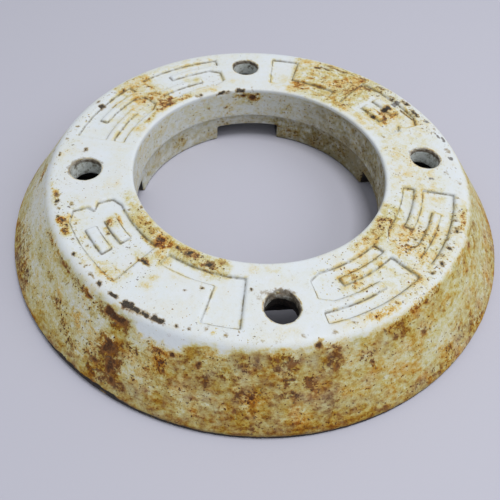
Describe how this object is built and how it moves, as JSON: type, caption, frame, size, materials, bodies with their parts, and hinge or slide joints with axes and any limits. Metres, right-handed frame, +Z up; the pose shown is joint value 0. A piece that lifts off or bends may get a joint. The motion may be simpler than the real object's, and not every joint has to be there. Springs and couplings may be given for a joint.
{
  "type": "tractor wheel weight",
  "caption": "Low round cast-iron wheel weight with a coned rim, wide central bore, bolt holes over underside pockets and a recessed weight marking, in worn white paint.",
  "frame": {"origin": "centre of the seat, on the axis of the bore, at the flat underside", "axes": "+Z up along the bore axis, out of the marked face; two bolt holes lie on X and two on Y"},
  "size_m": [0.4064, 0.4064, 0.055],
  "materials": {
    "painted_iron": "worn off-white paint over sand-cast iron, stained with ochre rust and chipped dark at the edges"
  },
  "bodies": {
    "root": {"weight_casting": "painted_iron"}
  },
  "joints": []
}
